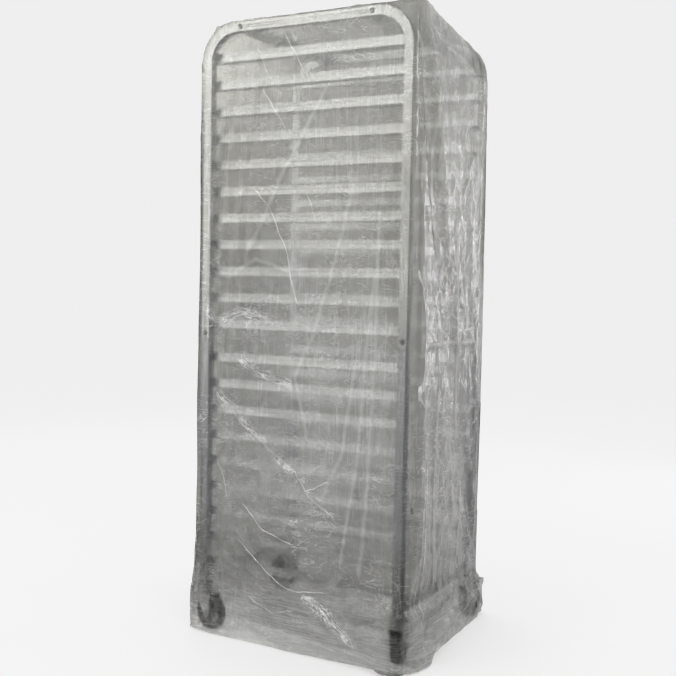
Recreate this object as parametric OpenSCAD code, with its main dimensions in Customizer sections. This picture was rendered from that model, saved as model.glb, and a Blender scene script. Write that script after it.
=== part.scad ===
// Twenty-tier sheet pan rack on four swivel casters, under a clear film cover.
// The loading opening faces -Y, the side frames stand at -X (left) and +X (right), and the floor is Z = 0.

/* [Rack frame] */
// Width over the two side frames
rack_w = 514.4; // [505:0.1:530]
// Depth over the front and rear posts
rack_d = 660.4; // [640:0.1:680]
// Height from the floor to the top rails
rack_h = 1755; // [1750:1:1765]
// Side of the square frame tube
tube = 25.4; // [25:0.1:26]
// Wall of the frame tube
tube_wall = 1.6; // [1.4:0.1:1.8]
// Centreline radius of the two bends of each side frame
bend_r = 92; // [80:1:100]
// Height of the seam where an upper side frame meets its lower posts
seam_z = 858; // [850:1:862]
// Distance of the top crossbars from the middle of the rack
top_bar_y = 208; // [180:1:215]

/* [Tiers] */
// Number of tiers on the upper side frames
upper_tiers = 11; // [6:1:11]
// Number of tiers on the lower posts
lower_tiers = 9; // [5:1:9]
// Height of one tier
tier_pitch = 76.2; // [70:0.1:76.2]
// Distance from the top of the rack down to the underside of the top tier
first_drop = 101.6; // [100:0.1:104]
// Distance across the seam, from the last upper tier to the first lower tier
seam_gap = 97.9; // [96:0.1:100]
// Width of a runner's ledge
ledge_w = 34; // [28:1:38]
// Height of a runner's upright flange
flange_h = 25.4; // [22:0.2:27]
// Sheet thickness of a runner
runner_t = 2; // [1.8:0.1:2.2]

/* [Casters] */
// Diameter of a wheel
wheel_d = 101.6; // [98:0.1:101.6]
// Width of a tyre
wheel_w = 32; // [28:1:32]
// Offset of the axle from the swivel axis
trail = 30; // [28:1:30]
// Height of the underside of the caster legs
leg_bottom_z = 135; // [135:1:137]
// Height of the top of the caster legs, where the posts begin
leg_top_z = 219; // [215:1:222]
// Where the front left wheel trails to, from +X
front_left_turn = 15; // [0:1:359]
// Where the rear left wheel trails to, from +X
rear_left_turn = 255; // [0:1:359]
// Where the front right wheel trails to, from +X
front_right_turn = 358; // [0:1:359]
// Where the rear right wheel trails to, from +X
rear_right_turn = 160; // [0:1:359]

/* [Cover] */
// Thickness of the cover's wall, a stand-in for thin film
film_t = 1; // [0.6:0.1:2]
// Height of the cover's hem above the floor
hem_z = 6; // [4:1:20]
// Gap between the cover and the top of the rack
cover_gap = 7; // [5:1:8]
// Gap between the cover and the frame at the floor, which clears the turning wheels
cover_flare = 74; // [74:1:80]

/* [Hidden] */
SIDES = ["left", "right"];
CORNERS = ["front_left", "front_right", "rear_left", "rear_right"];
// The first corners' casters have a brake
BRAKED = 2;
TIERS = upper_tiers + lower_tiers;
TIER_NAMES = [for (k = [1:TIERS]) str("tier_", k < 10 ? "0" : "", k)];
$fn = 48;

post_x = rack_w / 2 - tube / 2;
post_y = rack_d / 2 - tube / 2;
inner_x = rack_w / 2 - tube;
rail_z = rack_h - tube / 2;
bend_z = rail_z - bend_r;
bend_y = post_y - bend_r;
TURNS = [front_left_turn, front_right_turn, rear_left_turn, rear_right_turn];

cover_top_z = rack_h + cover_gap;

// Fits and fasteners
slip = 0.05;
sleeve_side = tube - 2 * tube_wall - 2 * slip;
sleeve_up = 57;
sleeve_down = 62;
bolt_r = 3;
bolt_hole_r = 3.2;
bolt_head_r = 7;
bolt_head_h = 3.6;
seam_bolt_z = 876;
leg_bolt_z = 188;
bottom_bar_z = 161;
plug_len = 18;
weld_nut_r = 6;
weld_nut_h = 5;

// Runner section and length
runner_half = rack_d / 2 - 8;
groove = 0.8;

// Caster heights, up from the wheel
wheel_r = wheel_d / 2;
rim_r = 40;
shoulder_r = 6;
crown_z = 105.5;
crown_t = 3.5;
race_z = 124;
race_gap = 0.4;
race_r = 23.5;
ball_r = 2.5;
ball_pitch_r = 17;
ball_count = 12;
kingpin_r = 5;
run_clearance = 0.08;
leg_plate_t = 5;
fork_inner = wheel_w / 2 + 3;
fork_t = 2.5;
boss_r = 13;
axle_r = 5;
spacer_r = 6.35;
pedal_u = 54;
pedal_z = 104;
pedal_pin_r = 2.5;

// Height of the underside of tier k, where tier 1 is the lowest
function tier_z(k) =
    let (down = TIERS - k)
    rack_h - first_drop - down * tier_pitch - (down >= upper_tiers ? seam_gap - tier_pitch : 0);
// The side of the rack a corner is on, and its front or rear
function corner_x(i) = (i % 2 == 0 ? -1 : 1) * post_x;
function corner_y(i) = (i < 2 ? -1 : 1) * post_y;

module at_corners() {
    for (i = [0:3]) {
        translate([corner_x(i), corner_y(i), 0]) children();
    }
}

// Puts its children at caster i, with the wheel trailing along their own +X
module at_caster(i) {
    translate([corner_x(i), corner_y(i), 0]) rotate([0, 0, TURNS[i]]) children();
}

// Lays a rotate_extrude or a cylinder on its side, so that its axis runs along Y
module along_y() {
    rotate([-90, 0, 0]) children();
}

// A square bar that stands on z = 0
module bar(side, length) {
    translate([-side / 2, -side / 2, 0]) cube([side, side, length]);
}

// A hollow square tube that stands on z = 0
module square_tube(side, wall, length) {
    difference() {
        bar(side, length);
        translate([0, 0, -1]) bar(side - 2 * wall, length + 2);
    }
}

// A quarter bend of a square bar in the YZ plane, starting at the given angle
module quarter_bend(side, start) {
    rotate([90, 0, 90]) rotate([0, 0, start]) rotate_extrude(angle = 90, $fn = 96)
        translate([bend_r - side / 2, -side / 2]) square(side);
}

// The inverted U that a side frame's tube follows, as a solid bar
module frame_bar(side, foot_z) {
    for (s = [-1, 1]) {
        translate([0, s * post_y, foot_z]) bar(side, bend_z - foot_z);
        translate([0, s * bend_y, bend_z]) quarter_bend(side, s > 0 ? 0 : 90);
    }
    translate([-side / 2, -bend_y, rail_z - side / 2]) cube([side, 2 * bend_y, side]);
}

// A round hole through a side frame, across the rack
module cross_hole(r, y, z) {
    translate([-tube, y, z]) rotate([0, 90, 0]) cylinder(r = r, h = 2 * tube);
}

module upper_frame(s) {
    color("silver") translate([s * post_x, 0, 0]) difference() {
        frame_bar(tube, seam_z);
        frame_bar(tube - 2 * tube_wall, seam_z - 1);
        for (e = [-1, 1]) {
            cross_hole(bolt_hole_r, e * top_bar_y, rail_z);
            translate([s * tube / 2, 0, 0]) cross_hole(bolt_hole_r, e * post_y, seam_bolt_z);
        }
    }
}

module lower_post(i) {
    color("silver") translate([corner_x(i), corner_y(i), leg_top_z])
        square_tube(tube, tube_wall, seam_z - leg_top_z);
}

// A short square leg with a floor plate for the caster's kingpin
module caster_leg(i) {
    color("darkgray") translate([corner_x(i), corner_y(i), 0]) difference() {
        translate([0, 0, leg_bottom_z]) bar(tube, leg_top_z - leg_bottom_z);
        translate([0, 0, leg_bottom_z + leg_plate_t]) bar(tube - 2 * tube_wall, leg_top_z);
        translate([0, 0, leg_bottom_z - 1]) cylinder(r = kingpin_r + slip, h = leg_plate_t + 2);
        translate([sign(corner_x(i)) * tube / 2, 0, 0]) cross_hole(bolt_hole_r, 0, leg_bolt_z);
        cross_hole(bolt_hole_r, 0, bottom_bar_z);
    }
}

// An inner sleeve with a weld nut behind its bolt hole, s is the side the bolt comes from
module sleeve(s, bottom, top, bolt_z) {
    difference() {
        union() {
            translate([0, 0, bottom]) square_tube(sleeve_side, tube_wall, top - bottom);
            translate([s * (sleeve_side / 2 - tube_wall / 2), 0, bolt_z]) rotate([0, -s * 90, 0])
                cylinder(r = weld_nut_r, h = weld_nut_h + tube_wall / 2, $fn = 6);
        }
        translate([s * tube / 2, 0, bolt_z]) rotate([0, -s * 90, 0])
            cylinder(r = bolt_r + slip, h = 2 * weld_nut_h + tube_wall);
    }
}

module post_sleeves() {
    color("gray") for (i = [0:3]) {
        translate([corner_x(i), corner_y(i), 0]) {
            sleeve(sign(corner_x(i)), seam_z - sleeve_down, seam_z + sleeve_up, seam_bolt_z);
            sleeve(sign(corner_x(i)), leg_bolt_z - 13, leg_top_z + sleeve_up, leg_bolt_z);
        }
    }
}

// A square crossbar between the side frames, with a threaded plug welded into each end
module crossbar(y, z) {
    color("silver") translate([0, y, z]) rotate([0, 90, 0]) difference() {
        translate([0, 0, -inner_x]) bar(tube, 2 * inner_x);
        translate([0, 0, plug_len - inner_x]) bar(tube - 2 * tube_wall, 2 * (inner_x - plug_len));
        for (s = [-1, 1]) {
            translate([0, 0, s * inner_x]) cylinder(r = bolt_r + slip, h = 2 * plug_len - 8, center = true);
        }
    }
}

// A domed bolt whose head sits on x = 0 and whose shank runs along +X
module dome_bolt(length) {
    rotate([0, 90, 0]) {
        cylinder(r = bolt_r, h = length);
        translate([0, 0, -bolt_head_h]) rotate_extrude()
            polygon([[0, 0], [bolt_head_r * 0.45, 0.25], [bolt_head_r * 0.8, 1.2],
                     [bolt_head_r, 2.6], [bolt_head_r, bolt_head_h], [0, bolt_head_h]]);
    }
}

// A bolt driven in from the outer face of the side frame on side s
module side_bolt(s, y, z, length) {
    translate([s * rack_w / 2, y, z]) rotate([0, 0, s > 0 ? 180 : 0]) dome_bolt(length);
}

module sleeve_bolts() {
    color("dimgray") for (s = [-1, 1], e = [-1, 1], z = [seam_bolt_z, leg_bolt_z]) {
        side_bolt(s, e * post_y, z, 9);
    }
}

module crossbar_bolts() {
    color("dimgray") for (s = [-1, 1], e = [-1, 1]) {
        side_bolt(s, e * top_bar_y, rail_z, tube + 12);
        side_bolt(s, e * post_y, bottom_bar_z, tube + 12);
    }
}

// Section of a left runner: x runs inwards from the posts, y is up from the ledge's underside
module runner_section() {
    polygon([[0, 0], [ledge_w, 0], [ledge_w, runner_t], [runner_t, runner_t],
             [runner_t, flange_h], [0, flange_h],
             [0, flange_h * 0.87], [groove, flange_h * 0.83],
             [groove, flange_h * 0.62], [0, flange_h * 0.56]]);
}

// The left and right runners of tier k
module tier(k) {
    color("gainsboro") for (m = [0, 1]) {
        mirror([m, 0, 0]) translate([-inner_x, runner_half, tier_z(k)]) rotate([90, 0, 0])
            linear_extrude(2 * runner_half) runner_section();
    }
}

// The fixed half of each swivel bearing, under a caster leg
module swivel_races() {
    color("silver") at_corners() rotate_extrude() difference() {
        polygon([[kingpin_r + slip, leg_bottom_z], [kingpin_r + slip, race_z + race_gap],
                 [race_r - 1, race_z + race_gap], [race_r - 3, race_z + 5.5],
                 [race_r + 1, leg_bottom_z - 3], [race_r + 1, leg_bottom_z]]);
        translate([ball_pitch_r, race_z + race_gap / 2]) circle(r = ball_r + run_clearance);
    }
}

// The rivets that hold the forks up against their races
module kingpins() {
    color("dimgray") at_corners() {
        translate([0, 0, crown_z - 4]) cylinder(r = 8.5, h = 3.8);
        translate([0, 0, crown_z - 1]) cylinder(r = kingpin_r, h = leg_bottom_z + leg_plate_t + 1 - crown_z);
        translate([0, 0, leg_bottom_z + leg_plate_t]) cylinder(r = 8.5, h = 4);
    }
}

module swivel_balls() {
    color("silver") at_corners() for (a = [0:ball_count - 1]) {
        rotate([0, 0, a * 360 / ball_count]) translate([ball_pitch_r, 0, race_z + race_gap / 2])
            sphere(r = ball_r, $fn = 24);
    }
}

// Outline of a fork leg, x along the trail and y up; a braked one reaches out to the pedal's pin
module fork_leg_outline(braked) {
    reach = braked ? pedal_u + 7 : pedal_u - 8;
    difference() {
        union() {
            polygon([[-20, crown_z + crown_t], [-20, crown_z - 6],
                     [trail - boss_r * 0.93, wheel_r - boss_r * 0.37],
                     [trail + boss_r * 0.97, wheel_r - boss_r * 0.24],
                     [trail + boss_r + 1, crown_z - 22], [reach, crown_z - 6],
                     [reach, crown_z + crown_t]]);
            translate([trail, wheel_r]) circle(r = boss_r);
        }
        translate([trail, wheel_r]) circle(r = axle_r + slip);
        if (braked) {
            translate([pedal_u, pedal_z]) circle(r = pedal_pin_r + run_clearance);
        }
    }
}

module fork(i) {
    color("lightsteelblue") at_caster(i) {
        difference() {
            union() {
                for (s = [-1, 1]) {
                    translate([0, s * fork_inner + (s > 0 ? fork_t : 0), 0]) rotate([90, 0, 0])
                        linear_extrude(fork_t) fork_leg_outline(i < BRAKED);
                }
                translate([-20, -fork_inner - fork_t, crown_z])
                    cube([20 + pedal_u - 8, 2 * (fork_inner + fork_t), crown_t]);
                rotate_extrude() polygon([[0, crown_z], [race_r - 1, crown_z],
                    [race_r - 1, race_z - 9], [race_r - 4, race_z - 6],
                    [race_r, race_z - 3], [race_r, race_z], [0, race_z]]);
            }
            translate([0, 0, crown_z - 1])
                cylinder(r = kingpin_r + run_clearance, h = race_z + 2 - crown_z);
            rotate_extrude() translate([ball_pitch_r, race_z + race_gap / 2])
                circle(r = ball_r + run_clearance);
        }
    }
}

// The axle bolt, the spacer that the hub turns on, and the nut
module axle(i) {
    color("silver") at_caster(i) translate([trail, 0, wheel_r]) along_y() {
        difference() {
            translate([0, 0, -fork_inner]) cylinder(r = spacer_r, h = 2 * fork_inner);
            translate([0, 0, -fork_inner - 1]) cylinder(r = axle_r, h = 2 * fork_inner + 2);
        }
        translate([0, 0, -fork_inner - fork_t]) cylinder(r = axle_r, h = 2 * (fork_inner + fork_t) + 7);
        translate([0, 0, -fork_inner - fork_t - 5]) cylinder(r = 8.5, h = 5, $fn = 6);
        difference() {
            translate([0, 0, fork_inner + fork_t]) cylinder(r = 8.5, h = 6, $fn = 6);
            translate([0, 0, fork_inner]) cylinder(r = axle_r, h = 20);
        }
    }
}

// Section of the wheel centre, x is the radius and y the width
module hub_section() {
    bore = spacer_r + slip;
    rim = rim_r - slip;
    polygon([[bore, -fork_inner + 1.5], [11, -fork_inner + 1.5], [14, -6], [rim_r - 4, -5],
             [rim_r - 3, -wheel_w / 2 + 2], [rim, -wheel_w / 2 + 2], [rim, wheel_w / 2 - 2],
             [rim_r - 3, wheel_w / 2 - 2], [rim_r - 4, 5], [14, 6],
             [11, fork_inner - 1.5], [bore, fork_inner - 1.5]]);
}

module hub(i) {
    color("darkslategray") at_caster(i) translate([trail, 0, wheel_r]) along_y()
        rotate_extrude($fn = 96) hub_section();
}

module tyre(i) {
    color("dimgray") at_caster(i) translate([trail, 0, wheel_r]) along_y() rotate_extrude($fn = 96) {
        translate([rim_r, -wheel_w / 2]) square([wheel_r - shoulder_r - rim_r, wheel_w]);
        translate([rim_r, shoulder_r - wheel_w / 2]) square([wheel_r - rim_r, wheel_w - 2 * shoulder_r]);
        for (s = [-1, 1]) {
            translate([wheel_r - shoulder_r, s * (wheel_w / 2 - shoulder_r)]) circle(r = shoulder_r);
        }
    }
}

// A foot pedal on a pin between the fork legs, with a shoe that bears on the tyre
module brake_pedal(i) {
    half = fork_inner - 4;
    color("firebrick") at_caster(i) {
        translate([pedal_u, 0, pedal_z]) along_y()
            cylinder(r = pedal_pin_r, h = 2 * (fork_inner + fork_t), center = true);
        translate([0, half, 0]) rotate([90, 0, 0]) linear_extrude(2 * half) {
            translate([pedal_u, pedal_z]) circle(r = 4.5);
            polygon([[pedal_u - 1, pedal_z + 4.2], [pedal_u + 12, pedal_z + 4], [78, pedal_z - 2],
                     [79, pedal_z - 5], [77.5, pedal_z - 5.5], [pedal_u + 11, pedal_z - 1],
                     [pedal_u + 10.2, pedal_z - 7.4], [pedal_u + 8.3, pedal_z - 8],
                     [pedal_u + 2, pedal_z - 3]]);
        }
    }
}

// A thin level slab from a rectangle's centre, for the foot or the head of a leaning panel
module slab(x, y, z, half_x, half_y) {
    translate([x - half_x, y - half_y, z]) cube([2 * half_x, 2 * half_y, 0.1]);
}

// A film panel that stands between the hem and the top; side is the way it faces, +X or +Y
module cover_wall(side_x, side_y) {
    hull() for (end = [[hem_z, cover_flare], [cover_top_z - 0.3, cover_gap]]) {
        half_x = rack_w / 2 + end[1];
        half_y = rack_d / 2 + end[1];
        slab(side_x * (half_x + film_t / 2), side_y * (half_y + film_t / 2), end[0],
             side_x == 0 ? half_x - 0.2 : film_t / 2, side_y == 0 ? half_y + film_t : film_t / 2);
    }
}

// The bag as five flat film panels that all but meet along its edges
module cover() {
    color("whitesmoke", 0.4) {
        for (s = [-1, 1]) {
            cover_wall(s, 0);
            cover_wall(0, s);
        }
        translate([0, 0, cover_top_z + film_t / 2])
            cube([rack_w + 2 * (cover_gap + film_t), rack_d + 2 * (cover_gap + film_t), film_t], center = true);
    }
}

upper_frame(-1);  // left_upper_frame
upper_frame(1);  // right_upper_frame
for (i = [0:3]) {
    lower_post(i);
    caster_leg(i);
    fork(i);
    axle(i);
    hub(i);
    tyre(i);
}
for (k = [1:TIERS]) {
    tier(k);
}
post_sleeves();
crossbar(-top_bar_y, rail_z);  // top_front_crossbar
crossbar(top_bar_y, rail_z);  // top_rear_crossbar
crossbar(-post_y, bottom_bar_z);  // bottom_front_crossbar
crossbar(post_y, bottom_bar_z);  // bottom_rear_crossbar
sleeve_bolts();
crossbar_bolts();
swivel_races();
kingpins();
swivel_balls();
for (i = [0:BRAKED - 1]) {
    brake_pedal(i);
}
cover();
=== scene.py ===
"""Looks of a sheet pan rack under a clear film cover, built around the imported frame. Metres, +Z up."""

import itertools
import math

import bmesh
import bpy
import numpy as np
from mathutils import Matrix, Vector, noise


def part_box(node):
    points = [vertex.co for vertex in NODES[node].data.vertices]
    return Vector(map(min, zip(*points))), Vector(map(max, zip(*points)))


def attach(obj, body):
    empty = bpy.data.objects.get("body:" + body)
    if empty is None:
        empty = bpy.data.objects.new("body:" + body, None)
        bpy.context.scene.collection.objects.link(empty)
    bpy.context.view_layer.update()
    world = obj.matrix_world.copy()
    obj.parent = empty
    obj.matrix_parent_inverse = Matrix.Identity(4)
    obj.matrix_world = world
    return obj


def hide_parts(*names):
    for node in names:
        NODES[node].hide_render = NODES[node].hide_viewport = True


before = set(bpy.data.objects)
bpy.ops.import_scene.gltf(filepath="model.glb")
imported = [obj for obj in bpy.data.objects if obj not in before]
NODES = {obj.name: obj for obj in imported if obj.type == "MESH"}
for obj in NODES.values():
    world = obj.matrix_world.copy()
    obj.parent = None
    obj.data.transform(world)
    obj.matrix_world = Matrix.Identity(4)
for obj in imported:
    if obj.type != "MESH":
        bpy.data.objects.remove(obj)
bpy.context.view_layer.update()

# The rack's main planes, read from the frame
LEFT_LO, LEFT_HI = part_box("left_upper_frame")
RACK_X = -LEFT_LO.x
RACK_Y = -LEFT_LO.y
RACK_Z = LEFT_HI.z
TUBE = LEFT_HI.x - LEFT_LO.x
LEG_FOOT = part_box("front_left_caster_leg")[0].z


# ---- Camera, lights and floor ------------------------------------------------------------------

# The camera that was fitted to the photo
CAMERA_AT = Vector((-2.7084, -1.4752, 1.0284))
CAMERA_YAW = math.radians(28.83)
CAMERA_PITCH = math.radians(-3.95)
CAMERA_ROLL = math.radians(1.116)
CAMERA_LENS = 54.96
CAMERA_SHIFT = 0.024

# Where the lights aim, about the rack's middle
LIT_POINT = Vector((0, 0, 0.9))
# Each light's name, place, width and height, and power in watts. The strips stand just off each side's mirror
# of the camera, where only the film's wrinkles catch them
STRIP = (0.1, 1.8)
STRIP_POWER = 12
LIGHTS = (
    ("side", (-3.4, 2.0, 1.5), (2.2, 3.0), 38),
    ("key", (-2.6, -2.8, 3.2), (1.6, 1.6), 22),
    ("front", (2.2, -3.4, 1.8), (1.6, 2.6), 14),
    ("back", (2.4, 2.8, 3.0), (2.0, 2.0), 18),
    ("strip_rear", (-2.65, 2.56, 1.3), STRIP, STRIP_POWER),
    ("strip_near", (-3.7, 0.67, 1.3), STRIP, STRIP_POWER),
    ("strip_high", (-3.04, 1.52, 2.5), STRIP[::-1], STRIP_POWER),
    ("strip_front", (2.4, -2.9, 1.3), STRIP, STRIP_POWER),
    ("strip_right", (3.44, -0.98, 1.3), STRIP, STRIP_POWER),
)
FLOOR_HALF = 30.0
FLOOR_DROP = 0.001


def add_camera():
    data = bpy.data.cameras.new("camera")
    data.lens = CAMERA_LENS
    data.sensor_width = 36
    data.shift_y = CAMERA_SHIFT
    data.clip_end = 100
    camera = bpy.data.objects.new("camera", data)
    bpy.context.scene.collection.objects.link(camera)
    flat = math.cos(CAMERA_PITCH)
    forward = Vector((flat * math.cos(CAMERA_YAW), flat * math.sin(CAMERA_YAW), math.sin(CAMERA_PITCH)))
    level = Vector((math.sin(CAMERA_YAW), -math.cos(CAMERA_YAW), 0))
    up = level.cross(forward)
    right = level * math.cos(CAMERA_ROLL) + up * math.sin(CAMERA_ROLL)
    up = up * math.cos(CAMERA_ROLL) - level * math.sin(CAMERA_ROLL)
    turn = Matrix((right, up, -forward)).transposed()
    camera.matrix_world = Matrix.Translation(CAMERA_AT) @ turn.to_4x4()
    bpy.context.scene.camera = camera


def add_area_light(name, at, size, power):
    data = bpy.data.lights.new(name, "AREA")
    data.shape = "RECTANGLE"
    data.size, data.size_y = size
    data.energy = power
    light = bpy.data.objects.new(name, data)
    light.location = at
    aim = LIT_POINT - Vector(at)
    light.rotation_euler = aim.to_track_quat("-Z", "Y").to_euler()
    bpy.context.scene.collection.objects.link(light)


def add_lights():
    for light in LIGHTS:
        add_area_light(*light)
    world = bpy.data.worlds.new("world")
    world.use_nodes = True
    background = world.node_tree.nodes["Background"]
    background.inputs["Color"].default_value = (1, 1, 1, 1)
    background.inputs["Strength"].default_value = 1.0
    bpy.context.scene.world = world
    bpy.context.scene.view_settings.view_transform = "Khronos PBR Neutral"


def add_floor():
    half = FLOOR_HALF
    corners = [(-half, -half, 0), (half, -half, 0), (half, half, 0), (-half, half, 0)]
    floor = add_mesh("floor", corners, [(0, 1, 2, 3)])
    floor.location.z = -FLOOR_DROP
    node = Nodes("floor_paint")
    speckle = node.noise(scale=3.0, detail=3)
    node.link(node.ramp(speckle, [(0.3, (0.82, 0.82, 0.82)), (0.7, (0.84, 0.84, 0.84))]), "Base Color")
    node.set("Roughness", 0.9)
    node.set("Specular IOR Level", 0.1)
    node.set("Emission Color", (1, 1, 1, 1))
    node.set("Emission Strength", 0.17)
    floor.data.materials.append(node.material)


def add_mesh(name, points, faces):
    mesh = bpy.data.meshes.new(name)
    mesh.from_pydata([tuple(p) for p in points], [], faces)
    mesh.validate()
    made = bpy.data.objects.new(name, mesh)
    bpy.context.scene.collection.objects.link(made)
    return made


# ---- Materials -----------------------------------------------------------------------------------


class Nodes:
    """A Principled material and short names for the texture nodes that feed it."""

    def __init__(self, name):
        self.material = bpy.data.materials.new(name)
        self.material.use_nodes = True
        self.tree = self.material.node_tree
        self.shader = self.tree.nodes["Principled BSDF"]
        self.place = self.tree.nodes.new("ShaderNodeTexCoord").outputs["Object"]

    def set(self, socket, value):
        self.shader.inputs[socket].default_value = value

    def link(self, output, socket):
        self.tree.links.new(output, self.shader.inputs[socket])

    def node(self, kind, **settings):
        made = self.tree.nodes.new("ShaderNode" + kind)
        for key, value in settings.items():
            setattr(made, key, value)
        return made

    def stretched(self, scale):
        """The object's own coordinates, scaled, so that a small number gives long streaks."""
        mapping = self.node("Mapping")
        mapping.inputs["Scale"].default_value = scale
        self.tree.links.new(self.place, mapping.inputs["Vector"])
        return mapping.outputs["Vector"]

    def noise(self, scale, detail=4, roughness=0.55, distortion=0.0, at=None):
        made = self.node("TexNoise")
        made.inputs["Scale"].default_value = scale
        made.inputs["Detail"].default_value = detail
        made.inputs["Roughness"].default_value = roughness
        made.inputs["Distortion"].default_value = distortion
        self.tree.links.new(at or self.place, made.inputs["Vector"])
        return made.outputs["Fac"]

    def cells(self, scale):
        """The distance from the nearest of many scattered points."""
        made = self.node("TexVoronoi", feature="F1")
        made.inputs["Scale"].default_value = scale
        self.tree.links.new(self.place, made.inputs["Vector"])
        return made.outputs["Distance"]

    def mark(self, name):
        """A number that the mesh carries at each point."""
        return self.node("Attribute", attribute_name=name).outputs["Fac"]

    def falloff(self, distance, width):
        """1 where the distance is 0, down to 0 at the width."""
        return self.math("SUBTRACT", 1.0, self.math("DIVIDE", distance, width), clamp=True)

    def strands(self, name, across, along):
        """Coordinates beside a line the mesh marks: this many steps a metre across it and along it."""
        made = self.node("CombineXYZ")
        flat = self.math("ADD", self.axis("X"), self.axis("Y"))
        parts = ((self.mark(name), across), (flat, along), (self.axis("Z"), along))
        for socket, (value, scale) in zip(made.inputs, parts):
            self.tree.links.new(self.math("MULTIPLY", value, scale), socket)
        return made.outputs["Vector"]

    def contour(self, value, width):
        """Thin wandering lines, where a noise passes its middle value."""
        return self.ramp(value, [(0.5 - width, 0.0), (0.5, 1.0), (0.5 + width, 0.0)])

    def ramp(self, value, stops):
        """A colour ramp; stops are (position, grey or colour)."""
        made = self.node("ValToRGB")
        elements = made.color_ramp.elements
        while len(elements) < len(stops):
            elements.new(0.5)
        for element, (position, colour) in zip(elements, stops):
            element.position = position
            grey = isinstance(colour, (int, float))
            element.color = (colour, colour, colour, 1) if grey else (*colour, 1)
        self.tree.links.new(value, made.inputs["Fac"])
        return made.outputs["Color"]

    def math(self, operation, a, b, clamp=False):
        made = self.node("Math", operation=operation, use_clamp=clamp)
        for socket, value in zip(made.inputs, (a, b)):
            if isinstance(value, (int, float)):
                socket.default_value = value
            else:
                self.tree.links.new(value, socket)
        return made.outputs["Value"]

    def mix(self, factor, a, b, blend="MIX"):
        made = self.node("Mix", data_type="RGBA", blend_type=blend)
        for socket, value in zip((made.inputs[0], made.inputs[6], made.inputs[7]), (factor, a, b)):
            if isinstance(value, (int, float)):
                socket.default_value = value
            elif isinstance(value, tuple):
                socket.default_value = (*value, 1)
            else:
                self.tree.links.new(value, socket)
        return made.outputs[2]

    def axis(self, name):
        """The point's own X, Y or Z, in metres."""
        made = self.node("SeparateXYZ")
        self.tree.links.new(self.place, made.inputs[0])
        return made.outputs[name]

    def bump(self, value, distance, strength=1.0, after=None):
        made = self.node("Bump")
        made.inputs["Strength"].default_value = strength
        made.inputs["Distance"].default_value = distance
        self.tree.links.new(value, made.inputs["Height"])
        if after:
            self.tree.links.new(after, made.inputs["Normal"])
        return made.outputs["Normal"]


def brushed_metal(name, light, dark, streak, roughness, wear=0.5, painted_low_shade=None):
    """Drawn or rolled aluminium: fine streaks along the piece, handling smears and small dents, and painted
    shade towards the bottom when a shade tint is given.
    """
    node = Nodes(name)
    node.set("Metallic", 1.0)
    fine = node.noise(1.0, detail=5, at=node.stretched(streak))
    smear = node.noise(9.0, detail=5, roughness=0.6, distortion=0.4)
    colour = node.ramp(fine, [(0.25, dark), (0.75, light)])
    patch = node.ramp(smear, [(0.35, 0.78), (0.62, 1.0)])
    colour = node.mix(wear, colour, patch, "MULTIPLY")
    # Painted shade: below about 0.6 m the colour is multiplied by the given tint, fading out by about 1 m
    if painted_low_shade:
        fade = node.ramp(node.axis("Z"), [(0.62, 1.0), (0.98, 0.0)])
        colour = node.mix(fade, colour, painted_low_shade, "MULTIPLY")
    node.link(colour, "Base Color")
    spread = node.math("MULTIPLY", smear, 0.22)
    node.link(node.math("ADD", spread, roughness - 0.11), "Roughness")
    dents = node.bump(node.noise(55.0, detail=2), 0.0012, 0.25)
    node.link(node.bump(fine, 0.0004, 0.35, after=dents), "Normal")
    return node.material


def cast_zinc(name):
    """Plated pressed steel: pale, slightly yellow and blue patches, with a fine spangle."""
    node = Nodes(name)
    node.set("Metallic", 1.0)
    spangle = node.cells(160.0)
    cloud = node.noise(30.0, detail=4)
    blue, grey, yellow = (0.50, 0.52, 0.56), (0.66, 0.66, 0.64), (0.72, 0.70, 0.62)
    colour = node.ramp(cloud, [(0.3, blue), (0.55, grey), (0.75, yellow)])
    node.link(node.mix(0.25, colour, node.ramp(spangle, [(0.1, 0.6), (0.8, 1.0)]), "MULTIPLY"), "Base Color")
    node.link(node.math("ADD", node.math("MULTIPLY", cloud, 0.3), 0.2), "Roughness")
    node.link(node.bump(node.noise(220.0, detail=3), 0.0005, 0.3), "Normal")
    return node.material


def bright_steel(name):
    """Plated bolts and axles: smooth, with hairline turning marks and darker blotches that are painted
    reflection of dark surroundings.
    """
    node = Nodes(name)
    node.set("Metallic", 1.0)
    dark_reflection_blotches = node.noise(120.0, detail=4)
    # Painted reflection: the dark blotches in the colour stand in for the dark reflections the bolts show
    node.link(node.ramp(dark_reflection_blotches, [(0.35, (0.16, 0.16, 0.17)), (0.6, (0.52, 0.52, 0.53))]), "Base Color")
    node.link(node.math("ADD", node.math("MULTIPLY", dark_reflection_blotches, 0.22), 0.1), "Roughness")
    node.link(node.bump(node.noise(400.0, detail=2), 0.0003, 0.3), "Normal")
    return node.material


def rubber(name, dark, light):
    """Grey-black tread rubber: dusty, with a pitted skin."""
    node = Nodes(name)
    dust = node.noise(26.0, detail=6, roughness=0.65)
    node.link(node.ramp(dust, [(0.35, dark), (0.72, light)]), "Base Color")
    node.link(node.math("ADD", node.math("MULTIPLY", dust, 0.3), 0.5), "Roughness")
    pits = node.bump(node.cells(480.0), 0.0006, 0.35)
    node.link(node.bump(node.noise(90.0, detail=3), 0.001, 0.3, after=pits), "Normal")
    return node.material


def moulded_plastic(name, dark, light):
    """Injection-moulded nylon: fine grain, faint flow marks."""
    node = Nodes(name)
    flow = node.noise(40.0, detail=5, distortion=1.2)
    node.link(node.ramp(flow, [(0.3, dark), (0.7, light)]), "Base Color")
    node.link(node.math("ADD", node.math("MULTIPLY", flow, 0.2), 0.35), "Roughness")
    node.link(node.bump(node.noise(700.0, detail=2), 0.0003, 0.4), "Normal")
    return node.material


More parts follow.
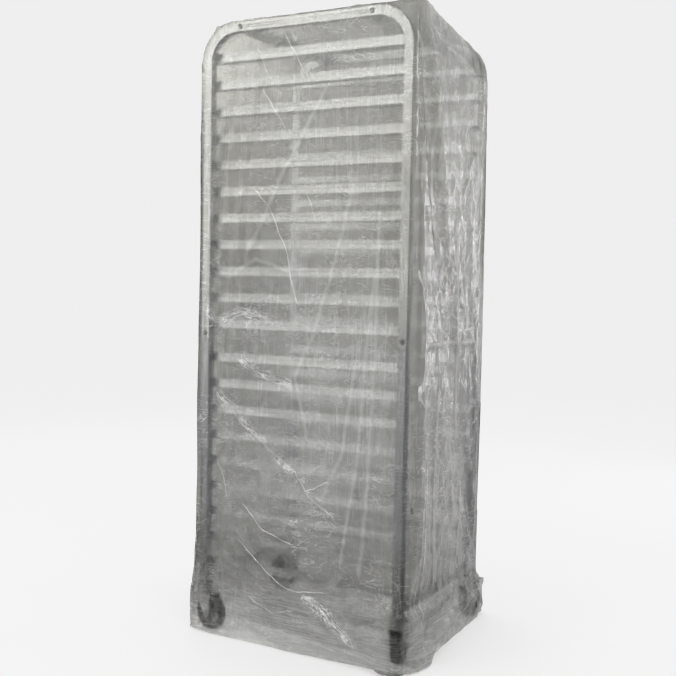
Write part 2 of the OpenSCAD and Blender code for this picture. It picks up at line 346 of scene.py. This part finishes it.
def pedal_paint(name):
    """Dark enamel, chipped to bare steel in small spots."""
    node = Nodes(name)
    chips = node.ramp(node.noise(210.0, detail=6, roughness=0.7), [(0.66, 0.0), (0.69, 1.0)])
    node.link(node.mix(chips, (0.05, 0.052, 0.056), (0.45, 0.44, 0.43)), "Base Color")
    node.link(chips, "Metallic")
    node.link(node.math("ADD", node.math("MULTIPLY", node.noise(35.0), 0.3), 0.25), "Roughness")
    node.link(node.bump(node.noise(300.0, detail=3), 0.0004, 0.4), "Normal")
    return node.material


# Corners of a CAD node within this reach are one, and edges that turn more than this angle are softened
WELD_REACH = 0.00001
SHARP_ANGLE = math.radians(40)


def dress_frame():
    """Gives every CAD node its material, and softens the sharp edges of the sheet and tube."""
    across, along = 900.0, 9.0
    along_z = (across, across, along)
    along_y = (across, along, across)
    along_x = (along, across, across)
    light, dark = (0.82, 0.825, 0.83), (0.6, 0.61, 0.62)
    # Painted shade: low is the tint that darkens the frame tubes towards the bottom
    low = (0.5, 0.51, 0.54)
    frame_tube = brushed_metal("frame_tube", light, dark, along_z, 0.3, painted_low_shade=low)
    # Painted shade: the posts and caster legs are the same aluminium made darker, for the darker reflections
    # low on the rack
    post_tube_painted_shade = brushed_metal("post_tube_painted_shade", (0.64, 0.65, 0.68), (0.44, 0.45, 0.48), along_z, 0.34)
    leg_tube = brushed_metal("leg_tube", (0.62, 0.63, 0.65), (0.42, 0.43, 0.45), along_z, 0.36)
    bar_tube = brushed_metal("bar_tube", light, dark, along_x, 0.32)
    runner_sheet = brushed_metal("runner_sheet", (0.88, 0.885, 0.89), (0.72, 0.73, 0.74), along_y, 0.34)
    inner_steel = brushed_metal("inner_steel", (0.5, 0.5, 0.52), (0.36, 0.36, 0.38), along_z, 0.4)
    zinc = cast_zinc("zinc_plate")
    bright = bright_steel("bright_bolts")
    paints = {
        "_upper_frame": (frame_tube, 0.0013), "_post": (post_tube_painted_shade, 0.0013), "_caster_leg": (leg_tube, 0.0013),
        "_crossbar": (bar_tube, 0.0013), "tier_": (runner_sheet, 0.0004), "post_sleeves": (inner_steel, 0),
        "kingpins": (inner_steel, 0), "swivel_balls": (bright, 0), "swivel_races": (zinc, 0.0005),
        "_bolts": (bright, 0.0003), "_fork": (zinc, 0.0006), "_axle": (bright, 0.0004),
        "_hub": (moulded_plastic("hub_nylon", (0.06, 0.06, 0.065), (0.11, 0.11, 0.12)), 0.0008),
        "_tyre": (rubber("tyre_rubber", (0.045, 0.045, 0.047), (0.11, 0.11, 0.11)), 0),
        "_brake_pedal": (pedal_paint("pedal_enamel"), 0.0006),
    }
    for name, node in NODES.items():
        found = [paint for part, paint in paints.items() if part in name]
        if not found:
            continue
        material, edge = found[0]
        node.data.materials.clear()
        node.data.materials.append(material)
        if edge:
            weld = node.modifiers.new("weld", "WELD")
            weld.merge_threshold = WELD_REACH
            bevel = node.modifiers.new("edges", "BEVEL")
            bevel.width = edge
            bevel.segments = 2
            bevel.limit_method = "ANGLE"
            bevel.angle_limit = SHARP_ANGLE


# ---- Cover ---------------------------------------------------------------------------------------

# The bag as it is cut: an open-bottomed box of film, wider at the hem than at the top
BAG_TOP = RACK_Z + 0.005
HEM_Z = 0.003
ROWS = 112
COLUMNS_X = 40
COLUMNS_Y = 46
AROUND = 2 * (COLUMNS_X + COLUMNS_Y)
# The outer radius of the side frames' top bends, and how high the wheels' centres are
BEND = 0.092 + TUBE / 2
CASTER_Z = 0.052
# The ends of the bag's top front edge: the ear that stands up over the left frame, and the far end
EAR = Vector((-RACK_X - 0.004, -RACK_Y - 0.016, RACK_Z + 0.034))
FAR_END = Vector((RACK_X + 0.004, -RACK_Y + 0.055, RACK_Z - 0.003))

# How far the film stays from the tubes and from the boxes of the casters' pieces, and how near to a box's
# corner it clears both sides
CLEAR = 0.0016
CASTER_GAP = 0.004
CORNER_REACH = 3 * CASTER_GAP
CASTER_BOXES = [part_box(name) for name in NODES if name.endswith(("_fork", "_tyre", "_brake_pedal"))]
# Above this height a fork narrows inside its box, so the film needn't clear the box
FORK_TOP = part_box("front_right_brake_pedal")[1].z + CASTER_GAP
# Pieces that the film leaves room for when their caster has turned half a circle
SWING_ROOM = (
    "front_left_tyre", "front_left_fork", "front_left_brake_pedal",
    "rear_right_tyre", "rear_right_fork",
)
# The outline of a caster's swivel race, as (radius, height) pairs going up
RACE_PROFILE = ((0.026, 0.12), (0.026, 0.137), (0.014, 0.15))

# The cloth: how long it settles, the share that it is longer than cut, and how firmly rows above the hem are
# held: HOLD_LOSS less for each row up, to nothing, or to NEAR_HOLD beside the near corner
SETTLE_FRAMES = 40
SLACK = 0.006
HEM_HOLD = 0.4
HOLD_LOSS = 0.05
NEAR_HOLD = 0.15
NEAR_COLUMNS = slice(3, 8)
EDGE_HOLD = 0.5

# How far the fine folds and crumples stand out from the settled film
FOLD_RISE = 0.002
CRUMPLE_RISE = 0.0012

# How near a crease the film's material looks for it, in metres, for each kind of crease
CREASE_REACH = {"sharp": 0.012, "soft": 0.022, "crumpled": 0.018}
CREASE_FAR = 0.03
CREASE_LIFT = 0.0025

# The film's main creases, end to end: (y, z) points on the left side, (x, z) points on the front.
# The right side and the back, which the photo doesn't show, get the same ones the other way round
CREASES = (
    ("sharp", "left", ((0.23, 0.66), (-0.01, 0.50), (-0.05, 0.44), (-0.13, 0.39))),
    ("crumpled", "left", ((0.26, 0.70), (0.20, 0.65), (-0.03, 0.475))),
    ("sharp", "left", ((-0.04, 0.45), (-0.12, 0.49))),
    ("sharp", "left", ((0.17, 0.29), (0.04, 0.19), (-0.02, 0.17), (-0.11, 0.18))),
    ("sharp", "left", ((0.14, 1.28), (0.10, 1.24), (0.04, 1.12), (0.02, 1.03), (0.00, 0.97))),
    ("sharp", "left", ((0.05, 1.70), (-0.02, 1.58))),
    ("sharp", "left", ((0.14, 1.67), (0.10, 1.59))),
    ("sharp", "left", ((0.12, 1.56), (0.05, 1.45))),
    ("sharp", "left", ((-0.03, 1.26), (-0.05, 1.20))),
    ("crumpled", "left", ((0.30, 0.95), (0.27, 0.91), (0.19, 0.94), (0.06, 0.92))),
    ("crumpled", "left", ((0.18, 0.80), (0.12, 0.77), (0.02, 0.75))),
    ("soft", "left", ((0.27, 1.05), (0.23, 1.04), (0.14, 1.09), (0.03, 1.06))),
    ("soft", "left", ((-0.17, 1.29), (-0.12, 1.10), (-0.05, 0.88), (0.00, 0.77), (-0.04, 0.60))),
    ("soft", "left", ((-0.24, 1.04), (-0.22, 0.80), (-0.21, 0.56), (-0.16, 0.27))),
    ("soft", "left", ((-0.19, 0.80), (-0.16, 0.57), (-0.10, 0.45))),
    ("sharp", "left", ((0.26, 0.50), (0.24, 0.46), (0.22, 0.41))),
    ("sharp", "left", ((0.16, 0.39), (0.09, 0.33), (0.00, 0.30))),
    ("crumpled", "left", ((-0.06, 0.16), (-0.13, 0.13), (-0.19, 0.09), (-0.22, 0.06))),
    ("sharp", "left", ((0.12, 0.13), (0.04, 0.10), (-0.02, 0.12))),
    ("soft", "left", ((-0.25, 1.22), (-0.25, 0.86), (-0.24, 0.50), (-0.22, 0.25))),
    ("soft", "left", ((-0.08, 1.55), (0.06, 1.32), (0.16, 1.12))),
    ("sharp", "front", ((-0.26, 1.74), (-0.25, 1.50), (-0.26, 1.16), (-0.22, 0.91), (-0.22, 0.87))),
    ("sharp", "front", ((-0.22, 0.87), (-0.24, 0.73), (-0.17, 0.61), (-0.18, 0.27), (-0.20, 0.04))),
    ("soft", "front", ((-0.14, 1.17), (-0.06, 0.86), (0.00, 0.59), (0.04, 0.35))),
    ("soft", "front", ((-0.22, 0.87), (0.18, 0.86))),
    ("sharp", "front", ((0.21, 1.18), (0.13, 1.10))),
    ("crumpled", "front", ((-0.14, 1.70), (0.08, 1.67), (0.17, 1.66))),
    ("sharp", "front", ((0.20, 1.60), (0.12, 1.47), (0.09, 1.42))),
    ("sharp", "front", ((0.17, 1.40), (0.10, 1.28))),
    ("soft", "front", ((-0.13, 1.55), (-0.12, 1.20))),
    ("soft", "front", ((0.05, 1.20), (0.08, 0.90), (0.10, 0.55), (0.09, 0.24))),
    ("soft", "front", ((-0.10, 0.72), (-0.11, 0.45), (-0.09, 0.20))),
    ("sharp", "front", ((-0.21, 0.72), (-0.20, 0.50), (-0.205, 0.30), (-0.22, 0.14))),
)


def bag_corners(drop, z):
    """The bag's plan at a share drop of the way down: its turning points, and the columns up to the next.

    The points go round from the front left corner. The film bulges round the two right casters (lobe) and
    the front left one (swing), draws in at the floor (tuck), and rounds its top corners (shoulder).
    """
    flare = drop ** 1.5
    ridge = 1 - (1 - drop) ** 2
    lobe = math.exp(-(((z - CASTER_Z) / 0.05) ** 2))
    tuck = 0.008 * math.exp(-((z / 0.03) ** 2))
    low = 1 / (1 + math.exp((z - 0.17) / 0.012))
    swing = (1 - 0.6 * math.exp(-((z / 0.02) ** 2))) / (1 + math.exp((z - 0.14) / 0.016))
    above = max(0.0, z - RACK_Z + BEND)
    shoulder = min(0.055, BEND - math.sqrt(max(0.0, BEND ** 2 - above ** 2)))
    rear_x = RACK_X + 0.008 + 0.03 * flare + 0.045 * lobe
    rear_y = RACK_Y + 0.008 + 0.03 * flare + 0.036 * lobe
    return (
        ((-RACK_X - 0.005 - 0.078 * swing, -RACK_Y - 0.010 - 0.034 * flare), 5),
        ((-RACK_X - 0.005 + 0.057 * drop ** 2, -RACK_Y - 0.016 - 0.053 * ridge), 8),
        ((-RACK_X + 0.150, -RACK_Y - 0.011 - 0.024 * flare), 27),
        ((RACK_X + 0.008 + 0.066 * lobe, -RACK_Y - 0.010 - 0.024 * lobe + shoulder), COLUMNS_Y),
        ((rear_x, rear_y - shoulder), COLUMNS_X),
        ((-RACK_X - 0.008 + tuck, RACK_Y + 0.008 + 0.008 * low - tuck - shoulder), 4),
        ((-RACK_X - 0.006 - 0.034 * flare, RACK_Y - 0.044), 24),
        ((-RACK_X - 0.006 - 0.044 * flare, -0.052), 18),
    )


def bag_ring(drop, z):
    """One ring of the bag's wall, as points in plan from the front left corner round by the right side."""
    corners = bag_corners(drop, z)
    ring = []
    for (start, count), (end, _) in zip(corners, corners[1:] + corners[:1]):
        for step in range(count):
            share = step / count
            ring.append([a + (b - a) * share for a, b in zip(start, end)])
    ring = np.array(ring)
    for _ in range(1 + int(3 * drop)):
        ring = ring / 2 + (np.roll(ring, 1, axis=0) + np.roll(ring, -1, axis=0)) / 4
    return ring


def make_bag():
    """The bag's quads: rings of wall from the hem up, then the top panel."""
    points, faces = [], []
    for row in range(ROWS + 1):
        up = row / ROWS
        z = HEM_Z + (BAG_TOP - HEM_Z) * up
        points += [(x, y, z) for x, y in bag_ring(1 - up, z)]
    for row in range(ROWS):
        for column in range(AROUND):
            after = (column + 1) % AROUND
            low, high = row * AROUND, (row + 1) * AROUND
            faces.append((low + column, low + after, high + after, high + column))
    rim = ROWS * AROUND
    grid = {}
    for i in range(COLUMNS_X + 1):
        grid[i, 0] = rim + i
        grid[i, COLUMNS_Y] = rim + 2 * COLUMNS_X + COLUMNS_Y - i
    for j in range(1, COLUMNS_Y):
        grid[COLUMNS_X, j] = rim + COLUMNS_X + j
        grid[0, j] = rim + AROUND - j
    for i in range(1, COLUMNS_X):
        for j in range(1, COLUMNS_Y):
            across = j / COLUMNS_Y
            front, rear = Vector(points[grid[i, 0]]), Vector(points[grid[i, COLUMNS_Y]])
            left, right = points[grid[0, j]], points[grid[COLUMNS_X, j]]
            x = front.lerp(rear, across).x
            y = left[1] + (right[1] - left[1]) * i / COLUMNS_X
            grid[i, j] = len(points)
            points.append((x, y, BAG_TOP))
    for i in range(COLUMNS_X):
        for j in range(COLUMNS_Y):
            faces.append((grid[i, j], grid[i + 1, j], grid[i + 1, j + 1], grid[i, j + 1]))
    return add_mesh("film_cover", points, faces)


def lathe(points, faces, centre, profile, sides=16):
    """Adds a closed turned solid to a list of points and faces, from (radius, height) pairs going up."""
    rings = []
    for radius, height in profile:
        rings.append(range(len(points), len(points) + sides))
        for t in np.linspace(0, 2 * math.pi, sides, endpoint=False):
            points.append((centre[0] + radius * math.cos(t), centre[1] + radius * math.sin(t), height))
    for low, high in zip(rings, rings[1:]):
        for k in range(sides):
            after = (k + 1) % sides
            faces.append((low[k], low[after], high[after], high[k]))
    faces += [tuple(reversed(rings[0])), tuple(rings[-1])]


def prism(points, faces, outline, low_x, high_x):
    """Adds a closed solid between two X planes to a list of points and faces, from its (y, z) outline."""
    first, count = len(points), len(outline)
    points += [(x, y, z) for x in (low_x, high_x) for y, z in outline]
    for k in range(count):
        after = (k + 1) % count
        faces.append((first + k, first + after, first + count + after, first + count + k))
    faces += [tuple(range(first, first + count)), tuple(range(first + 2 * count - 1, first + count - 1, -1))]


def block(points, faces, low, high):
    """Adds a closed box between two corners to a list of points and faces."""
    outline = [(low[1], low[2]), (high[1], low[2]), (high[1], high[2]), (low[1], high[2])]
    prism(points, faces, outline, low[0], high[0])


def drape_form():
    """What the film falls on, as plain closed solids: the two side frames, the crossbars and the casters."""
    points, faces = [], []
    turn = np.linspace(0, math.pi / 2, 9)
    half = [(RACK_Y - BEND + BEND * math.cos(t), RACK_Z - BEND + BEND * math.sin(t)) for t in turn]
    outline = [(-RACK_Y, LEG_FOOT), (RACK_Y, LEG_FOOT)] + half + [(-y, z) for y, z in reversed(half)]
    for side in (-1, 1):
        low_x, high_x = sorted((side * (RACK_X - TUBE), side * RACK_X))
        prism(points, faces, outline, low_x, high_x)
    for name in NODES:
        if name.endswith(("_crossbar", "_fork", "_tyre")):
            block(points, faces, *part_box(name))
    for name in SWING_ROOM:
        low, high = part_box(name)
        pin = Vector((math.copysign(RACK_X - TUBE / 2, low.x), math.copysign(RACK_Y - TUBE / 2, low.y), 0))
        opposite = [Vector((2 * pin.x - spot.x, 2 * pin.y - spot.y, spot.z)) for spot in (high, low)]
        block(points, faces, (*opposite[0].xy, low.z), (*opposite[1].xy, high.z))
    for x in (-1, 1):
        for y in (-1, 1):
            axis = (x * (RACK_X - TUBE / 2), y * (RACK_Y - TUBE / 2))
            lathe(points, faces, axis, RACE_PROFILE)
    form = add_mesh("drape_form", points, faces)
    shape = bmesh.new()
    shape.from_mesh(form.data)
    bmesh.ops.recalc_face_normals(shape, faces=shape.faces)
    shape.to_mesh(form.data)
    shape.free()
    form.modifiers.new("collision", "COLLISION")
    form.collision.thickness_outer = 0.001
    form.collision.thickness_inner = 0.05
    form.collision.cloth_friction = 4
    return form


def settle(bag):
    """Lets the film fall on the rack as cloth, with its hem held on the floor and one top corner held up."""
    form = drape_form()
    held = bag.vertex_groups.new(name="held")
    for row in range(ROWS):
        ring = list(range(row * AROUND, (row + 1) * AROUND))
        hold = HEM_HOLD - HOLD_LOSS * row
        held.add(ring, max(hold, 0.0) if row else 1.0, "REPLACE")
        held.add(ring[NEAR_COLUMNS], max(hold, NEAR_HOLD) if row else 1.0, "REPLACE")
    corner = ROWS * AROUND
    for step in range(COLUMNS_X + 1):
        bag.data.vertices[corner + step].co = EAR.lerp(FAR_END, step / COLUMNS_X)
    held.add([corner, corner + COLUMNS_X], 1.0, "REPLACE")
    held.add(list(range(corner + 1, corner + COLUMNS_X)), EDGE_HOLD, "REPLACE")
    cloth = bag.modifiers.new("cloth", "CLOTH")
    cloth.settings.quality = 7
    cloth.settings.mass = 0.06
    cloth.settings.air_damping = 4
    cloth.settings.tension_stiffness = 40
    cloth.settings.compression_stiffness = 20
    cloth.settings.shear_stiffness = 12
    cloth.settings.bending_stiffness = 0.1
    cloth.settings.shrink_min = -SLACK
    cloth.settings.vertex_group_mass = "held"
    cloth.collision_settings.distance_min = 0.003
    cloth.collision_settings.collision_quality = 4
    cloth.point_cache.frame_start = 1
    cloth.point_cache.frame_end = SETTLE_FRAMES
    scene = bpy.context.scene
    scene.frame_start, scene.frame_end = 1, SETTLE_FRAMES
    for step in range(1, SETTLE_FRAMES + 1):
        scene.frame_set(step)
    apply(bag, cloth)
    scene.frame_set(1)
    bpy.data.objects.remove(form)


def apply(piece, modifier):
    with bpy.context.temp_override(object=piece, active_object=piece, selected_objects=[piece]):
        bpy.ops.object.modifier_apply(modifier=modifier.name)


def ridged(place, scale, shift):
    """Noise folded into ridges, from 0 in hollows to 1 along sharp lines, scaled along X, Y and Z."""
    spot = Vector(p * s + shift for p, s in zip(place, scale))
    return 1 - min(1, 2.2 * abs(noise.noise(spot)))


def mark_creases(mesh, places, normals):
    """Writes each point's distance from its nearest crease, and returns how far the crease lifts it."""
    offset = np.full(len(places), CREASE_FAR)
    nearest = np.full(len(places), "", dtype="U8")
    for (kind, face, points), facing in itertools.product(CREASES, (1, -1)):
        axis = 1 if face == "left" else 0
        here = normals[:, 1 - axis] * facing < -0.6
        spot = places[:, [axis, 2]] * (facing, 1)
        for start, end in zip(points, points[1:]):
            run = np.subtract(end, start)
            along = np.clip((spot - start) @ run / (run @ run), 0, 1)
            away = spot - start - along[:, None] * run
            side = np.where(run[0] * away[:, 1] < run[1] * away[:, 0], -1, 1)
            distance = np.linalg.norm(away, axis=1)
            closer = here & (distance < np.abs(offset))
            offset[closer] = (side * distance)[closer]
            nearest[closer] = kind
    mesh.attributes.new("crease_offset", "FLOAT", "POINT").data.foreach_set("value", offset)
    lift = np.zeros(len(places))
    for kind, reach in CREASE_REACH.items():
        near = (nearest == kind) * np.clip(2 - 2 * np.abs(offset) / reach, 0, 1)
        mesh.attributes.new("crease_" + kind, "FLOAT", "POINT").data.foreach_set("value", near)
        lift += near * np.clip(1 - np.abs(offset) / reach, 0, 1)
    return lift


def wrinkle(bag):
    """Adds the folds and crumples that are finer than the cloth's grid, outwards only, clear of the frame."""
    mesh = bag.data
    normals = [normal.vector.copy() for normal in mesh.vertex_normals]
    places = [vertex.co.copy() for vertex in mesh.vertices]
    lifts = mark_creases(mesh, np.array(places), np.array(normals))
    for vertex, place, normal, lift in zip(mesh.vertices, places, normals, lifts):
        patch = max(0, 0.5 + noise.noise(place * 3.1))
        pull = ridged(place, (9, 9, 1.4), 4.0) ** 2
        slant = (place.x * 7, place.y * 10 + place.z * 7, (place.z - 0.7 * place.y) * 1.8)
        drag = ridged(slant, (1, 1, 1), 9.0) ** 3
        crumple = ridged(place, (17, 17, 17), 2.0)
        rise = FOLD_RISE * pull + FOLD_RISE * drag * patch + CRUMPLE_RISE * crumple * patch
        rise += CREASE_LIFT * lift
        vertex.co = clear_of_casters(keep_clear(place + normal * rise, normal))


def clear_of_casters(place):
    """Moves a point of the film out of a caster's box by its nearer outer side, or by both near a corner."""
    for low, high in CASTER_BOXES:
        near = all(a - CASTER_GAP < p < b + CASTER_GAP for a, p, b in zip(low, place, high))
        if near and place.z < FORK_TOP:
            gaps = [max(abs(low[k]), abs(high[k])) + CASTER_GAP - abs(place[k]) for k in (0, 1)]
            for axis, gap in enumerate(gaps):
                if gap < min(gaps) + CORNER_REACH:
                    place[axis] = math.copysign(abs(place[axis]) + gap, place[axis])
    return place


def keep_clear(place, normal):
    """Moves a point of the film that lies inside the rack's outer faces out of them."""
    side, end = RACK_X + CLEAR, RACK_Y + CLEAR
    place.z = max(place.z, HEM_Z / 2)
    if place.z < RACK_Z - BEND and min(abs(place.x) - RACK_X, abs(place.y) - RACK_Y) > -TUBE / 2:
        place.x = math.copysign(max(abs(place.x), side + CLEAR), place.x)
        place.y = math.copysign(max(abs(place.y), end + CLEAR), place.y)
    if abs(normal.x) > 0.7 and RACK_X - TUBE < abs(place.x) < side:
        place.x = math.copysign(side, place.x)
    beyond = abs(place.y) - (RACK_Y - BEND)
    above = place.z - (RACK_Z - BEND)
    if abs(normal.y) > 0.7 and RACK_Y - TUBE < abs(place.y) < end and above < 0:
        place.y = math.copysign(end, place.y)
    if min(beyond, above) > 0 and abs(place.x) > RACK_X - TUBE:
        reach = math.hypot(beyond, above)
        if BEND - TUBE < reach < BEND + CLEAR:
            stretch = (BEND + CLEAR) / reach
            place.y = math.copysign(RACK_Y - BEND + beyond * stretch, place.y)
            place.z = RACK_Z - BEND + above * stretch
    return place


def crease_lines(node):
    """How white the main creases are, partly the film's stress-whitening and partly painted glints: thin
    sharp ones, wide soft ones, and crumpled ones.
    """
    wobble = node.math("MULTIPLY", node.math("SUBTRACT", node.noise(26.0, detail=3), 0.5), 0.014)
    away = node.math("ABSOLUTE", node.math("ADD", node.mark("crease_offset"), wobble), 0)
    uneven = node.ramp(node.noise(14.0, detail=2), [(0.36, 0.2), (0.56, 1.0)])
    sharp = node.math("MULTIPLY", node.mark("crease_sharp"), uneven)
    sharp = node.math("MULTIPLY", node.falloff(away, 0.0022), sharp)
    soft = node.math("MULTIPLY", node.mark("crease_soft"), 0.22)
    soft = node.math("MULTIPLY", node.falloff(away, 0.009), soft)
    strands = node.strands("crease_offset", 150, 26)
    shards = node.contour(node.noise(1.0, detail=2, distortion=0.8, at=strands), 0.1)
    core = node.math("MULTIPLY", node.falloff(away, 0.0035), node.noise(30.0, detail=2))
    crumpled = node.math("MULTIPLY", node.math("MAXIMUM", shards, core), node.mark("crease_crumpled"))
    crumpled = node.math("MULTIPLY", crumpled, uneven)
    return node.math("MAXIMUM", node.math("MAXIMUM", sharp, soft), crumpled)


def fine_lines(node, pleats):
    """How white the small wrinkles are, partly the film's whitening and partly painted glints: scattered
    strokes, streaks down the pleats, ripples near the hem.
    """
    patch = node.ramp(node.noise(3.5, detail=3), [(0.42, 0.0), (0.6, 1.0)])
    strokes = node.noise(1.0, detail=3, distortion=0.5, at=node.stretched((15, 15, 44)))
    strokes = node.math("MULTIPLY", node.contour(strokes, 0.022), patch)
    strokes = node.math("MULTIPLY", strokes, 0.4)
    spread = node.ramp(node.noise(2.3), [(0.4, 0.0), (0.65, 0.2)])
    streaks = node.math("MULTIPLY", node.contour(pleats, 0.03), spread)
    low = node.ramp(node.axis("Z"), [(0.06, 0.24), (0.22, 0.0)])
    ripples = node.noise(1.0, detail=3, distortion=0.4, at=node.stretched((7, 7, 90)))
    ripples = node.math("MULTIPLY", node.contour(ripples, 0.05), low)
    return node.math("MAXIMUM", node.math("MAXIMUM", strokes, streaks), ripples)


def film_haze_and_shade(node, level):
    """The film's colour: a cloudy haze, with painted light and shade by height, lighter at the foot and the
    top, and painted shade low on the front face.
    """
    # Painted light and shade: lighter at the foot and the top and darker at mid height, for how the floor and
    # the surroundings light the film
    height_light_and_shade = node.ramp(level, [
        (0.0, (0.37, 0.367, 0.35)), (0.07, (0.115, 0.114, 0.104)), (0.18, (0.1, 0.099, 0.088)),
        (0.32, (0.085, 0.084, 0.074)), (0.8, (0.112, 0.109, 0.09)), (1.0, (0.19, 0.187, 0.163)),
    ])
    cloud = node.ramp(node.noise(2.6, detail=5, roughness=0.6), [(0.3, 0.66), (0.7, 1.34)])
    haze_and_shade = node.mix(1.0, height_light_and_shade, cloud, "MULTIPLY")
    # Painted shade: the front face is darker low down, fading out by about three quarters of the height
    # A ramp takes 0 to 1, so Y is moved up by half a metre
    face = 0.5 - RACK_Y
    front = node.ramp(node.math("ADD", node.axis("Y"), 0.5), [(face - 0.012, 0.45), (face + 0.006, 0.0)])
    front = node.math("MULTIPLY", front, node.ramp(level, [(0.42, 1.0), (0.75, 0.0)]))
    return node.mix(1.0, haze_and_shade, node.math("SUBTRACT", 1.0, front), "MULTIPLY")


def film(name):
    """Thin clear polythene: hazy, so what is far behind it blurs, and whiter where it is creased, partly
    stress-whitening and partly painted glints.
    """
    node = Nodes(name)
    pleats = node.noise(1.0, detail=3, at=node.stretched((34, 34, 1.8)))
    lines = node.math("MAXIMUM", crease_lines(node), fine_lines(node, pleats))
    level = node.math("DIVIDE", node.axis("Z"), RACK_Z)
    # The white along creases and wrinkles is partly stress-whitening and partly painted glints; less light
    # passes through there
    node.link(node.mix(lines, film_haze_and_shade(node, level), (0.9, 0.9, 0.89)), "Base Color")
    node.link(node.math("SUBTRACT", 0.92, node.math("MULTIPLY", lines, 0.5)), "Transmission Weight")
    node.set("IOR", 1.07)
    blur = node.ramp(level, [(0.15, 1.0), (0.2, 0.55), (0.45, 0.55), (0.55, 1.0)])
    node.link(blur, "Roughness")
    node.set("Coat Weight", 1.0)
    node.set("Coat Roughness", 0.1)
    node.set("Coat IOR", 1.5)
    share = node.ramp(level, [(0.14, 0.87), (0.2, 0.75)])
    node.link(node.math("ADD", node.math("MULTIPLY", lines, 0.2), share, clamp=True), "Alpha")
    facets = node.bump(node.cells(20.0), 0.012, 0.5)
    folds = node.bump(pleats, 0.008, 0.5, after=facets)
    grain = node.noise(60.0, detail=4, roughness=0.6, distortion=0.5)
    fine = node.bump(grain, 0.004, 0.6, after=folds)
    raised = node.bump(lines, 0.0025, 0.8, after=fine)
    node.link(raised, "Normal")
    node.link(raised, "Coat Normal")
    return node.material


def make_cover():
    bag = make_bag()
    settle(bag)
    finer = bag.modifiers.new("finer", "SUBSURF")
    finer.levels = finer.render_levels = 1
    apply(bag, finer)
    wrinkle(bag)
    bag.data.polygons.foreach_set("use_smooth", [True] * len(bag.data.polygons))
    bag.data.materials.append(film("clear_film"))
    return bag


def ring_length(drop, z):
    ring = bag_ring(drop, z)
    return float(np.linalg.norm(ring - np.roll(ring, 1, axis=0), axis=1).sum())


add_camera()
add_lights()
add_floor()
dress_frame()
cover = make_cover()
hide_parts("cover")
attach(cover, "cover")
around = (ring_length(1, HEM_Z) + ring_length(0, BAG_TOP)) / 2
